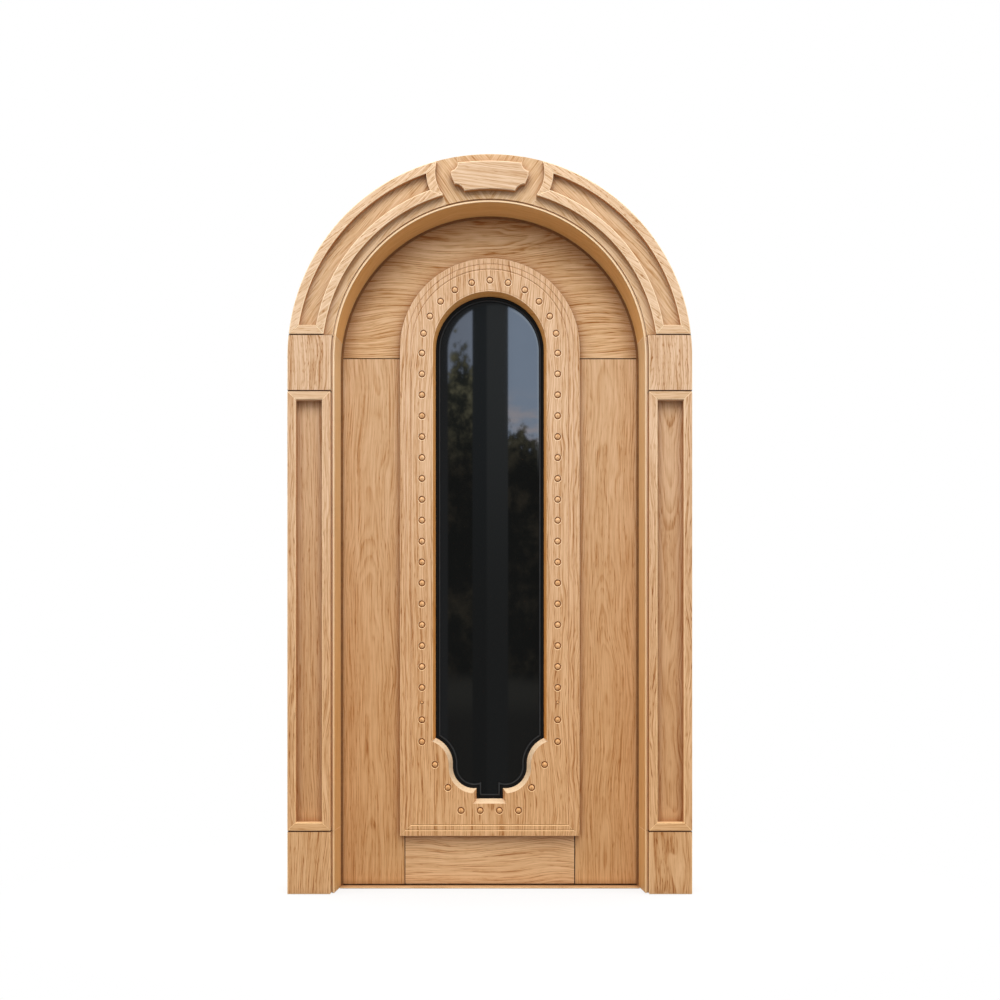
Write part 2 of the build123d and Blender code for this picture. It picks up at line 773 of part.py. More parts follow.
def build_hardware():
    save("hinge_frame_plates", *[hinge_plate(-1, z) + hinge_pin(z) for z in hinge_heights])
    save("hinge_leaf_plates", *[hinge_plate(1, z) - hinge_pin(z, pin_clear) for z in hinge_heights])
    save("lock_case", lock_case_walls())
    save("lock_faceplate", lock_faceplate())
    save("deadbolt", deadbolt())
    save("lock_cam", lock_cam())
    save("thumb_turn", thumb_turn())
    save("turn_rose", turn_rose())
    save("pull_handle", pull_handle())


os.makedirs("parts", exist_ok=True)
build_surround()
build_casing()
build_leaf()
build_hardware()
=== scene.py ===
from math import asin, atan2, cos, pi, radians, sin, sqrt

import bmesh
import bpy
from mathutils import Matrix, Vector


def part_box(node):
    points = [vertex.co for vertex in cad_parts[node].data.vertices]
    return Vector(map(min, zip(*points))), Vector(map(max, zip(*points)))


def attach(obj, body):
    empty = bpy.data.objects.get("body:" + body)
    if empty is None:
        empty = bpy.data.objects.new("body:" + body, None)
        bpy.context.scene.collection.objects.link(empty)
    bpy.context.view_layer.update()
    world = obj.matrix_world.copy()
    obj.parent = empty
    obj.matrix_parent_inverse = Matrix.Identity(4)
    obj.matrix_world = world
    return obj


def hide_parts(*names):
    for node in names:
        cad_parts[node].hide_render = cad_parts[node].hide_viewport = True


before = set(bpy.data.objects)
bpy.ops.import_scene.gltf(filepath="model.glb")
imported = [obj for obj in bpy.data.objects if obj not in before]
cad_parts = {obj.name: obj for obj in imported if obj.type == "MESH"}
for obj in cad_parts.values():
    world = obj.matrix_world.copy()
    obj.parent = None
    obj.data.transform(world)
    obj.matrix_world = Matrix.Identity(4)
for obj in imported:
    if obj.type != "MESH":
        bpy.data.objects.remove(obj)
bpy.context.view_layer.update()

# ---------------------------------------------------------------- camera
# Eye level a little above the middle rail of a usual door, square on to the doorway, with the
# frame lifted so that uprights stay upright.
eye_distance = 4.545
eye_height = 0.741
camera = bpy.data.objects.new("camera", bpy.data.cameras.new("camera"))
camera.location = (0, -eye_distance, eye_height)
camera.rotation_euler = (pi / 2, 0, 0)
camera.data.lens = 50.92
camera.data.sensor_width = 36
camera.data.shift_x = 0.0102
camera.data.shift_y = 0.156
bpy.context.collection.objects.link(camera)
bpy.context.scene.camera = camera
bpy.context.scene.view_settings.view_transform = "Standard"


# ---------------------------------------------------------------- studio
# A round room of soft light that is strongest overhead and fades towards the floor, one broad
# lamp over the doorstep, and a pale floor that keeps the door's shadow.
class Value:
    """A node's socket that can stand in a sum."""

    def __init__(self, finish, socket):
        self.finish = finish
        self.socket = socket

    def sum(self, operation, *others):
        """Works this value out with others, in one Math node."""
        return self.finish.node("ShaderNodeMath", {"operation": operation}, {
            n: value for n, value in enumerate((self, *others))})

    def __add__(self, other):
        return self.sum("ADD", other)

    def __sub__(self, other):
        return self.sum("SUBTRACT", other)

    def __mul__(self, other):
        return self.sum("MULTIPLY", other)

    def __truediv__(self, other):
        return self.sum("DIVIDE", other)

    def __neg__(self):
        return self.sum("MULTIPLY", -1)

    def __rsub__(self, other):
        return (-self).sum("ADD", other)

    __radd__ = __add__
    __rmul__ = __mul__


class Finish:
    """A material or the world, built up node by node."""

    def __init__(self, name, owner=None):
        self.material = owner or bpy.data.materials.new(name)
        self.material.use_nodes = True
        self.tree = self.material.node_tree
        self.tree.nodes.clear()

    def node(self, kind, settings=None, sockets=None, out=0):
        """Adds one node: its settings first, then values or links for its sockets."""
        made = self.tree.nodes.new(kind)
        for name, setting in (settings or {}).items():
            if name == "stops":
                stops = made.color_ramp.elements
                while len(stops) < len(setting):
                    stops.new(0.5)
                for stop, (place, colour) in zip(stops, setting):
                    stop.position = place
                    stop.color = (*colour, 1)
            else:
                setattr(made, name, setting)
        for name, value in (sockets or {}).items():
            if isinstance(value, Value):
                self.tree.links.new(value.socket, made.inputs[name])
            else:
                made.inputs[name].default_value = value
        return Value(self, made.outputs[out])

    def place(self, kind="Object"):
        """The point on the piece, in metres, or another of its coordinates, as three values."""
        point = self.node("ShaderNodeTexCoord", out=kind)
        return [self.node("ShaderNodeSeparateXYZ", None, {0: point}, axis) for axis in "XYZ"]

    def noise(self, x, y, z, detail, roughness=0.5):
        """Soft noise from 0 to 1 at a point given by three values."""
        point = self.node("ShaderNodeCombineXYZ", None, {0: x, 1: y, 2: z})
        return self.node("ShaderNodeTexNoise", None, {
            "Vector": point, "Scale": 1, "Detail": detail, "Roughness": roughness}, "Fac")

    def rise(self, value, low, high, start=0, end=1):
        """Goes smoothly from start to end as a value goes from low to high."""
        return self.node("ShaderNodeMapRange", {"interpolation_type": "SMOOTHSTEP"}, {
            0: value, 1: low, 2: high, 3: start, 4: end})

    def mix(self, share, first, second):
        """Blends two colours, each a link or three numbers."""
        pair = [c if isinstance(c, Value) else (*c, 1) for c in (first, second)]
        return self.node("ShaderNodeMix", {"data_type": "RGBA"}, {0: share, 6: pair[0], 7: pair[1]}, 2)

    def surface(self, base, roughness, bump, height, others):
        """Closes a material that has a colour, a roughness, and a bump of a strength and a depth."""
        normal = self.node("ShaderNodeBump", None, {
            "Strength": bump[0], "Distance": bump[1], "Height": height})
        return self.close(self.node("ShaderNodeBsdfPrincipled", None, {
            "Base Color": base, "Roughness": roughness, "Normal": normal, **others}))

    def close(self, shader, output="ShaderNodeOutputMaterial"):
        """Joins the last shader to the output."""
        last = self.tree.nodes.new(output)
        self.tree.links.new(shader.socket, last.inputs[0])
        return self.material


def srgb(*parts):
    """A colour given in 0 to 255, as linear light."""
    return tuple(((c / 255 + 0.055) / 1.055) ** 2.4 if c > 10 else c / 255 / 12.92 for c in parts)


def reach_of(first, second):
    """How far a point given by two values is from nought."""
    return (first * first + second * second).sum("SQRT")


def seen_directly(finish):
    """1 where the camera, a mirror or a pane looks straight at the surface."""
    rays = [finish.node("ShaderNodeLightPath", out=ray) for ray in
            ("Is Camera Ray", "Is Glossy Ray", "Is Transmission Ray")]
    return (rays[0] + rays[1] + rays[2]).sum("MINIMUM", 1)


def room_light(level, overhead):
    """Light from all round at one level, with more from overhead and less from below."""
    room = bpy.data.worlds.new("room")
    bpy.context.scene.world = room
    finish = Finish("room", room)
    up = finish.place("Generated")[2]
    lamp = finish.node("ShaderNodeBackground", None, {
        "Color": (1, 1, 1, 1), "Strength": (up * overhead + level).sum("MAXIMUM", 0)})
    wall = finish.node("ShaderNodeBackground", None, {"Color": (1, 1, 1, 1), "Strength": 1})
    finish.close(finish.node("ShaderNodeMixShader", None, {
        0: seen_directly(finish), 1: lamp, 2: wall}), "ShaderNodeOutputWorld")


def soft_lamp(name, place, target, size, watts):
    """A broad lamp aimed at a point, which steel and glass don't mirror."""
    lamp = bpy.data.lights.new(name, "AREA")
    lamp.shape = "RECTANGLE"
    lamp.size, lamp.size_y = size
    lamp.energy = watts
    holder = bpy.data.objects.new(name, lamp)
    holder.location = place
    holder.rotation_euler = (Vector(target) - Vector(place)).to_track_quat("-Z", "Y").to_euler()
    holder.visible_glossy = False
    bpy.context.collection.objects.link(holder)


def add_mesh(name, points, faces):
    """A mesh object from its points and faces."""
    mesh = bpy.data.meshes.new(name)
    mesh.from_pydata(points, [], faces)
    mesh.validate()
    piece = bpy.data.objects.new(name, mesh)
    bpy.context.collection.objects.link(piece)
    return piece


def pale_floor(half, tone):
    """Floor that turns to plain white away from the door. Its white throws no light, and little
    light comes back from its paint to the door."""
    under = -0.001
    near, far = 0.6, 1.7
    floor = add_mesh("floor", [(-half, -half, under), (half, -half, under), (half, half, under),
                               (-half, half, under)], [(0, 1, 2, 3)])
    finish = Finish("pale_floor")
    x, y, z = finish.place()
    cloud = finish.noise(x * 3, y * 3, z, 2)
    lift = finish.rise(reach_of(x, y) + cloud * 0.2, near, far, 0.78, 1)
    paint = finish.mix(seen_directly(finish), [tone * 0.3] * 3, [tone] * 3)
    matt = finish.node("ShaderNodeBsdfDiffuse", None, {"Color": paint})
    glow = finish.node("ShaderNodeEmission", None, {"Color": (1, 1, 1, 1), "Strength": 1})
    floor.data.materials.append(finish.close(finish.node("ShaderNodeMixShader", None, {
        0: seen_directly(finish) * lift, 1: matt, 2: glow})))


room_light(level=0.64, overhead=1.24)
soft_lamp("porch_lamp", place=(0, -2.3, 4.3), target=(0, 0, 1.3), size=(2.4, 1.6), watts=64)
pale_floor(half=30, tone=0.8)


# ---------------------------------------------------------------- frame posts and head
# Solid oak posts and an arched head, planed and oiled, that carry the leaf and stand hidden in
# the wall opening.
def upright(x, y, z):
    """Grain that runs up the piece: along, across and into it."""
    return z, x, y


def level(x, y, z):
    """Grain that runs level."""
    return x, z, y


def deeper(tone, *shares):
    """A colour given in 0 to 255 that keeps a share of its red, green and blue, as linear light."""
    return srgb(*[part * share for part, share in zip(tone, shares)])


def oak(name, flow, tone, seed, contrast=1.0, rings=45, heart=0.0, depth=0.045, figure=0.5,
        sway=1.0, curl=1.0, streaks=0.5, dashes=0.5, dash_length=0.03, clouds=0.5,
        corners=0.95, reach=0.024, sides=0, part=None, part_tone=None):
    """Oiled oak sawn lengthways, with markings that follow a flow. Its growth rings lie round a
    heart that is off to the side and below the face by a depth. Figure, streaks, dashes and clouds
    say how strong each marking is, sway and curl how far the grain wanders, corners and sides how
    much painted shade darkens the inner corners and the cut sides. A part may have a tone of its own."""
    finish = Finish(name)
    place = finish.place()
    along, across, deep = flow(*place)

    # The grain wanders in slow sways of some centimetres and short curls of some millimetres.
    sway_width, curl_width = 0.085, 0.013
    drift = finish.noise(across * 3.5, along * 2.2 + seed, deep * 5, 1) - 0.5
    bend = finish.noise(across * 17, along * 6.5, deep * 17 + seed, 1) - 0.5
    off = across + drift * sway_width * sway + bend * curl_width * curl

    # Growth rings, and finer lines between them. Along the board the heart wanders and sinks.
    wander, sink, finer = 0.05, 0.03, 3.3
    sunk = (finish.noise(along * 1.3 + seed, 0.37, seed, 1) - 0.5) * wander + along * sink + deep + depth
    radius = reach_of(off - heart, sunk)
    ring = radius * rings + finish.noise(radius * 30, seed, 0.5, 2) * 2 + bend * 0.8 + seed
    turn = ring.sum("FRACT")
    thin_turn = (ring * finer).sum("FRACT")
    year = finish.rise(turn, 0.1, 0.85) * finish.rise(turn, 1.0, 0.85)
    line = finish.rise(thin_turn, 0.25, 0.85) * finish.rise(thin_turn, 1.0, 0.85)

    # Streaks, fibres and open pores are drawn out along the grain, and clouds lie over them. Each
    # has its own number to the metre across the grain.
    streak_count, fibre_count, pore_count, cloud_count = 150, 300, 420, 9
    band = finish.noise(off * streak_count, along * 4, deep * streak_count + seed, 2, 0.55)
    fibre = finish.noise(off * fibre_count, along * 8, deep * fibre_count + seed, 2, 0.6)
    dash = finish.noise(off * pore_count + seed, along / dash_length, deep * pore_count, 1)
    cloud = finish.noise(off * cloud_count, along * 2.2, deep * cloud_count - seed, 2, 0.55)
    bands = finish.rise(band, 0.28, 0.72)
    fibres = finish.rise(fibre, 0.3, 0.7)
    pores = finish.rise(dash, 0.54, 0.74)

    # All markings together say how dark the wood is.
    share = (year - 0.4) * figure * (0.2 + bands * 0.6) + (line - 0.35) * figure * (0.4 + fibres * 0.6)
    share = share + (bands - 0.5) * streaks * 0.3 + (fibres - 0.5) * streaks * 0.6
    share = share + (cloud - 0.5) * clouds * 0.8 + (pores - 0.25) * dashes * (0.3 + year * 0.5) + 0.4
    pale, dark, deepest = [srgb(*[t + contrast * c for t, c in zip(tone, step)]) for step in
                           ((19, 23, 28), (-24, -33, -40), (-56, -70, -76))]
    base = finish.node("ShaderNodeValToRGB", {"stops": [
        (0.0, pale), (0.4, srgb(*tone)), (0.75, dark), (1.0, deepest)]}, {"Fac": share})

    # Painted shade: an ambient occlusion node darkens the inner corners, and the cut sides are darker.
    corner_shade_tone = deeper(tone, 0.59, 0.42, 0.25)
    cut = deeper(tone, 0.88, 0.7, 0.48)
    open_side = finish.node("ShaderNodeAmbientOcclusion", {"samples": 4}, {"Distance": reach}, "AO")
    base = finish.mix((1 - open_side) * corners, base, corner_shade_tone)
    if sides:
        facing = finish.place("Normal")[1].sum("ABSOLUTE")
        base = finish.mix(finish.rise(facing, 0.3, 0.8, sides, 0), base, cut)
    if part:
        base = finish.mix(part(finish, *place), base, srgb(*part_tone))

    # The wood is deeper in colour towards the foot of the door.
    high, low = 1.9, 0.2
    foot_tint = (0.98, 0.84, 0.64, 1)
    base = finish.node("ShaderNodeMix", {"data_type": "RGBA", "blend_type": "MULTIPLY"}, {
        0: finish.rise(place[2], high, low), 6: base, 7: foot_tint}, 2)
    height = (1 - fibres) * 0.5 - pores * 0.6 - line * 0.2
    return finish.surface(base, 0.55 + pores * 0.15, (0.3, 0.0003), height, {"Specular IOR Level": 0.3})


def ease_edges(piece, ease, angle=32):
    """Joins the facets of flat faces, and eases the arrises, which take the second material."""
    weld = piece.modifiers.new("weld", "WELD")
    weld.merge_threshold = 0.00001
    flat = piece.modifiers.new("flat", "DECIMATE")
    flat.decimate_type = "DISSOLVE"
    flat.angle_limit = radians(0.4)
    edge = piece.modifiers.new("ease", "BEVEL")
    edge.width = ease
    edge.segments = 2
    edge.limit_method = "ANGLE"
    edge.angle_limit = radians(angle)
    edge.material = 1
    edge.use_clamp_overlap = True


def even_shading(piece):
    """Shades each wide face flat right up to its eased arrises."""
    even = piece.modifiers.new("even", "WEIGHTED_NORMAL")
    even.keep_sharp = True


def dress(node, finish, ease, arris=None, angle=32):
    """Gives a CAD piece its finish, and eases its arrises by a width in metres."""
    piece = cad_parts[node]
    piece.data.materials.clear()
    piece.data.materials.append(finish)
    piece.data.materials.append(arris or finish)
    ease_edges(piece, ease, angle)
    even_shading(piece)


frame_oak = oak("frame_oak", upright, (206, 160, 116), 3.1, heart=0.5)
head_oak = oak("head_oak", level, (206, 160, 116), 4.7, heart=2.2)
for node in ("frame_post_left", "frame_post_right"):
    dress(node, frame_oak, 0.001)
dress("frame_head", head_oak, 0.001)


# ---------------------------------------------------------------- threshold
# Low oak sill under the leaf, planed and oiled like the frame. Its arrises, and those of the
# surround, are pale: partly wear from feet and hands, partly a painted highlight on the eased edges.
sill_oak = oak("sill_oak", level, (204, 173, 143), 12.4)
arris_tone = (250, 222, 184)
faint_grain = {"contrast": 0.5, "figure": 0.3, "corners": 0.1}
pale_arris = oak("pale_arris", upright, arris_tone, 9.3, **faint_grain)
dress("threshold", sill_oak, 0.0006, pale_arris)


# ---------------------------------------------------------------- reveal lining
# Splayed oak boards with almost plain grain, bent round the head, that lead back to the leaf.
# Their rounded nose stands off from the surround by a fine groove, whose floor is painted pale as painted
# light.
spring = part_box("jamb_lining_left")[1][2] - 0.067
bend_radius = 0.486
groove_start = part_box("impost_block_right")[0][0] - 0.0048


def round_head(x, y, z):
    """Grain that follows the arch: round it, across its depth and into it."""
    up = z - spring
    return x.sum("ARCTAN2", up) * bend_radius, y, reach_of(x, up)


def groove_by_jamb(finish, x, y, z):
    """The groove's floor beside the upright linings."""
    return finish.rise(x.sum("ABSOLUTE"), groove_start - 0.0012, groove_start - 0.0006)


def groove_by_arch(finish, x, y, z):
    """The groove's floor round the head."""
    return finish.rise(reach_of(x, z - spring), groove_start - 0.0002, groove_start + 0.0002)


plain_grain = {"contrast": 0.5, "sway": 0.5, "heart": -0.3, "figure": 0.3, "streaks": 0.4, "dashes": 0.3,
               "clouds": 0.8, "corners": 0.2}
lining_oak = oak("lining_oak", lambda x, y, z: (z, y, x), (230, 192, 141), 21.2,
                 part=groove_by_jamb, part_tone=(255, 232, 200), **plain_grain)
bent_oak = oak("bent_oak", round_head, (231, 180, 114), 22.9,
               part=groove_by_arch, part_tone=(248, 216, 174), **plain_grain)
for node in ("jamb_lining_left", "jamb_lining_right", "plinth_linings"):
    dress(node, lining_oak, 0.0014, pale_arris)
dress("arch_lining", bent_oak, 0.0014, pale_arris)


# ---------------------------------------------------------------- seals
# Dark rubber strips: one on the lining's end, whose lip stands out a little round the shut leaf,
# and one in a groove under the leaf.
def rubber(name, tone, roughness):
    """Matt rubber with a faint bloom and a fine grain."""
    finish = Finish(name)
    x, y, z = finish.place()
    bloom = finish.noise(x * 60, y * 60, z * 60, 3)
    base = finish.mix(bloom, [c * 0.7 for c in tone], [c * 1.4 for c in tone])
    grain = finish.noise(x * 900, y * 900, z * 900, 1)
    return finish.surface(base, roughness + bloom * 0.15, (0.2, 0.0002), grain, {
        "Specular IOR Level": 0.15})


def bar_faces(start, end, size):
    """Faces of a bar whose points come section by section, each of a size, with both ends closed."""
    faces = [(a + m, a + (m + 1) % size, a + size + (m + 1) % size, a + size + m)
             for a in range(start, end - size, size) for m in range(size)]
    return faces + [tuple(range(start, start + size)), tuple(range(end - 1, end - size - 1, -1))]


def round_headed(name, profile, foot, head, steps=64):
    """A profile of radius and depth carried up one jamb, round the head and down the other."""
    stations = [(-1, 0, foot)]
    stations += [(-cos(pi * n / steps), sin(pi * n / steps), head) for n in range(steps + 1)]
    stations.append((1, 0, foot))
    points = [(radius * c, depth, z + radius * s) for c, s, z in stations for radius, depth in profile]
    return add_mesh(name, points, bar_faces(0, len(points), len(profile)))


seal_rubber = rubber("seal_rubber", srgb(128, 88, 54), 0.55)
seal_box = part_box("weather_seal")
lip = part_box("jamb_lining_right")[0][0] - 0.0022
lip_front = -0.0029
lip_back = -0.0005
lip_profile = [(seal_box[1][0], lip_front), (seal_box[1][0], lip_back), (lip + 0.0012, lip_back),
               (lip + 0.0003, -0.0009), (lip, -0.0016), (lip + 0.0003, -0.0024),
               (lip + 0.0012, lip_front)]
seal = round_headed("seal_lip", lip_profile, seal_box[0][2], spring)
seal.data.materials.append(seal_rubber)
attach(seal, "frame")
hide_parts("weather_seal")
dress("bottom_seal", seal_rubber, 0.0003)


# ---------------------------------------------------------------- plinth and impost blocks
# Solid oak blocks, flat sawn, with a pale eased arris all round and a fine shadow gap to the
# pieces above and below.
block_joints = [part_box("plinth_block_left")[1][2], *(corner[2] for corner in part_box("impost_block_left"))]


def by_joint(finish, x, y, z):
    """The few millimetres of each arris beside a level joint, which are darkened."""
    low, middle, high = [finish.rise((z - joint).sum("ABSOLUTE"), 0.0022, 0.0032, 1, 0)
                         for joint in block_joints]
    return low + middle + high


# The arrises are pale as a painted highlight, and dark beside each level joint.
joint_arris = oak("joint_arris", upright, arris_tone, 9.3, part=by_joint, part_tone=(84, 54, 32),
                  **faint_grain)
plinth_oak = oak("plinth_oak", upright, (209, 170, 131), 31.5, heart=0.55, curl=1.7, contrast=1.1,
                 corners=0.3, streaks=0.7, dashes=0.6)
impost_oak = oak("impost_oak", upright, (209, 170, 132), 33.8, heart=-0.57, curl=1.8, contrast=1.1,
                 corners=0.3, dash_length=0.02, streaks=0.8, dashes=0.8)
for side in ("left", "right"):
    dress("plinth_block_" + side, plinth_oak, 0.0018, joint_arris)
    dress("impost_block_" + side, impost_oak, 0.0018, joint_arris)


# ---------------------------------------------------------------- pilasters
# On each side a sunk oak board in a frame of four strips, mitred at the corners, and pinned and
# glued over the board.
board_oak = oak("board_oak", upright, (208, 169, 130), 41.3, heart=0.56, depth=0.02, sway=0.6, curl=1.4,
                streaks=0.7, dashes=0.6, contrast=0.8, corners=0.75)
strip_oak = oak("strip_oak", upright, (212, 173, 135), 43.6, heart=0.2, curl=1.6, contrast=1.2,
                streaks=0.8, dashes=0.7, figure=0.35, corners=0.5, sides=0.8)
cross_strip_oak = oak("cross_strip_oak", level, (218, 181, 142), 45.1, heart=2.1, curl=1.2, figure=0.3,
                      corners=0.35)
for side in ("left", "right"):
    dress("pilaster_board_" + side, board_oak, 0.0005)
    dress("pilaster_uprights_" + side, strip_oak, 0.001, joint_arris)
    dress("pilaster_end_strips_" + side, cross_strip_oak, 0.001, joint_arris)


# ---------------------------------------------------------------- arch
# Oak boards and mitred strips, left and right alike, glued on over the arch in two steps, with
# two wide boards and two crown pieces in the middle.
def leaning(slope, mirrored=True):
    """Grain at a slope to the floor. Mirrored, it leans alike on both sides, from unlike boards."""
    def flow(x, y, z):
        out = x.sum("ABSOLUTE") if mirrored else x
        unlike = x.sum("SIGN") * 0.13 if mirrored else 0
        return out * -cos(slope) + z * sin(slope), out * sin(slope) + z * cos(slope) + unlike, y
    return flow


field_oak = oak("field_oak", leaning(radians(50)), (214, 177, 135), 51.7, heart=1.4,
                figure=0.35, streaks=0.7, corners=0.6)
rim_oak = oak("rim_oak", leaning(radians(38)), (218, 182, 144), 53.2, heart=1.6, curl=1.5,
              dash_length=0.02, dashes=0.9, figure=0.25, streaks=0.9, sides=0.8)
key_oak = oak("key_oak", leaning(radians(125)), (208, 171, 129), 55.9, heart=0.6, curl=1.4, figure=0.4,
              streaks=0.8, contrast=0.9, corners=0.8)
dress("arch_bands", field_oak, 0.0008, pale_arris)
dress("keystone_boards", key_oak, 0.0008)
dress("crown_boards", key_oak, 0.001, pale_arris)
for node in ("arch_outer_rims", "arch_inner_rims", "arch_end_strips"):
    dress(node, rim_oak, 0.0026, pale_arris)
dress("arch_foot_strips", cross_strip_oak, 0.0014, joint_arris)


# ---------------------------------------------------------------- plaque
# Blank oak plaque with scooped corners and a bevelled edge, cut from one board and glued over
# the crown's seam.
# The plaque's cut sides are darkened as painted shade.
plaque_oak = oak("plaque_oak", leaning(radians(10), mirrored=False), (213, 179, 144), 61.4,
                 heart=2.3, sway=1.5, figure=0.4, streaks=0.7, dashes=0.4, sides=1)
dress("plaque", plaque_oak, 0.0018, pale_arris, angle=20)


# ---------------------------------------------------------------- leaf frame
# Stiles with upright grain, top and bottom rail with level grain, tenoned together, with a fine
# dark V left at each joint.
seam_shade = oak("seam_shade", upright, (46, 27, 15), 77.7, contrast=0.2)
for side, seed, heart in (("left", 71.2, -0.38), ("right", 73.9, 0.37)):
    stile_oak = oak("stile_oak_" + side, upright, (208, 168, 126), seed, heart=heart, depth=0.02,
                    sway=0.5, curl=0.6, figure=0.35, streaks=0.8, clouds=0.35, contrast=0.85)
    dress("stile_" + side, stile_oak, 0.0018, seam_shade)
# The top rail's corner shade reaches further, painting the shade that the arch lining throws on it.
rail_oak = oak("rail_oak", level, (211, 169, 122), 75.5, reach=0.06, corners=1.3, heart=2.1, rings=36,
               sway=1.1, streaks=0.75, dashes=0.4, clouds=0.7, contrast=1.1)
foot_rail_oak = oak("foot_rail_oak", level, (222, 188, 154), 76.9, heart=0.4, sway=1.6, curl=1.6,
                    streaks=0.8, contrast=0.9)
dress("top_rail", rail_oak, 0.0018, seam_shade)
dress("bottom_rail", foot_rail_oak, 0.0018, seam_shade)


# ---------------------------------------------------------------- raised panel
# Solid oak panel lapped over the leaf's frame, with the window's sloped reveal, two V grooves and
# a scribed line beside the window. Each button's seat is drilled round, with an eased mouth.
panel_oak = oak("panel_oak", upright, (216, 177, 138), 81.3, sway=0.8, streaks=0.65, dashes=0.6,
                depth=-0.03, corners=0.6)
seat_shade = oak("seat_shade", upright, (166, 104, 56), 84.1, contrast=0.4, corners=0.1)
# A near-white finish for the window's lobe and notch slopes, which face up: a painted highlight.
lit_slope_oak = oak("lit_slope_oak", upright, (250, 234, 216), 85.7, **faint_grain)
reveal_oak = oak("reveal_oak", upright, (246, 182, 108), 86.2, contrast=0.5)
face_slot, arris_slot, seat_slot, reveal_slot, lit_slope_slot = range(5)
panel_low, panel_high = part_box("outer_panel")
panel_front = panel_low[1]
panel_foot = panel_low[2]
panel_half = panel_high[0]
panel_spring = panel_high[2] - panel_half
window_half = panel_half - 0.105
cusp_height = panel_foot + 0.306
lobe_height = panel_foot + 0.218
notch_foot = panel_foot + 0.108
notch_half = 0.05
lobe_radius = 0.077
shoulder_radius = 0.084
shoulder_lift = 0.009
slope_back = 0.016
reveal_back = 0.0175


def solid_boxes(node):
    """Lowest and highest corner of each separate solid of a CAD node."""
    mesh = bmesh.new()
    mesh.from_mesh(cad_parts[node].data)
    bmesh.ops.remove_doubles(mesh, verts=mesh.verts, dist=1e-6)
    found = []
    for start in mesh.verts:
        if start.tag:
            continue
        start.tag = True
        reached = [start]
        for vert in reached:
            for edge in vert.link_edges:
                other = edge.other_vert(vert)
                if not other.tag:
                    other.tag = True
                    reached.append(other)
        found.append([[pick(vert.co[axis] for vert in reached) for axis in range(3)]
                      for pick in (min, max)])
    mesh.free()
    return found


def face_outwards(piece):
    """Turns every face of a closed mesh outwards."""
    mesh = bmesh.new()
    mesh.from_mesh(piece.data)
    bmesh.ops.recalc_face_normals(mesh, faces=mesh.faces)
    mesh.to_mesh(piece.data)
    mesh.free()


def turned(name, spots, rings, sides, along="y"):
    """Like turnings: each ring is a radius, a depth, a material slot and how star-shaped it is."""
    points, faces, slots = [], [], []
    for across, up, grow in spots:
        start = len(points)
        for radius, depth, slot, star in rings:
            for n in range(sides):
                reach = radius * grow * (1 if n % 4 == 0 else 1 - star)
                u, v = across + reach * sin(2 * pi * n / sides), up + reach * cos(2 * pi * n / sides)
                points.append((u, depth, v) if along == "y" else (depth, u, v))
        for ring in range(len(rings) - 1):
            for n in range(sides):
                a, b = start + ring * sides + n, start + ring * sides + (n + 1) % sides
                faces.append((a, a + sides, b + sides, b))
                slots.append(rings[ring][2])
        last = start + (len(rings) - 1) * sides
        faces += [tuple(range(start, start + sides)), tuple(range(last, last + sides))]
        slots += [rings[0][2], rings[-1][2]]
    piece = add_mesh(name, points, faces)
    for face, slot in zip(piece.data.polygons, slots):
        face.material_index = slot
    face_outwards(piece)
    return piece


crown_steps, shoulder_steps, lobe_steps = 24, 12, 16


def window_line(inset):
    """The window's outline drawn in by an inset, clockwise from the crown to the notch's corner."""
    half = window_half - inset
    shoulder = shoulder_radius + inset
    lobe = lobe_radius - inset
    shoulder_x = notch_half + sqrt((lobe_radius + shoulder_radius) ** 2 - shoulder_lift ** 2)
    shoulder_z = lobe_height + shoulder_lift
    cusp = asin((shoulder_x - half) / shoulder)
    waist = atan2(shoulder_x - notch_half, shoulder_lift)
    tip = asin(inset / lobe)
    line = []
    for n in range(crown_steps + 1):
        turn = pi / 2 * n / crown_steps
        line.append((half * sin(turn), panel_spring + half * cos(turn)))
    for n in range(shoulder_steps + 1):
        turn = cusp + (pi - waist - cusp) * n / shoulder_steps
        line.append((shoulder_x - shoulder * sin(turn), shoulder_z + shoulder * cos(turn)))
    for n in range(1, lobe_steps + 1):
        turn = waist + (pi + tip - waist) * n / lobe_steps
        line.append((notch_half + lobe * sin(turn), lobe_height + lobe * cos(turn)))
    line.append((notch_half - inset, notch_foot + inset))
    return line


def lobe_slopes(name, outer, inner, inside):
    """Wedges that open the window's lobes and its notch's foot with a wide slope facing up. The
    three insets are those of the slope's front, its back and the wedge's open side."""
    front, back = panel_front - 0.0006, slope_back
    insets = (outer, inner, inside)
    lobe_lines = [window_line(inset)[crown_steps + 1:-1] for inset in insets]
    runs = [[[(side * x, z) for x, z in line] for line in lobe_lines] for side in (-1, 1)]
    runs.append([[(side * (notch_half - inset), notch_foot + inset) for side in (-1, 1)]
                 for inset in insets])
    points, faces = [], []
    for front_line, back_line, open_line in runs:
        start = len(points)
        for (a, b), (c, d), (e, f) in zip(front_line, back_line, open_line):
            points += [(a, front, b), (c, back, d), (e, back, f), (e, front, f)]
        faces += bar_faces(start, len(points), 4)
    piece = add_mesh(name, points, faces)
    # The slopes take the near-white finish, a painted highlight.
    for face in piece.data.polygons:
        face.material_index = lit_slope_slot
    face_outwards(piece)
    return piece


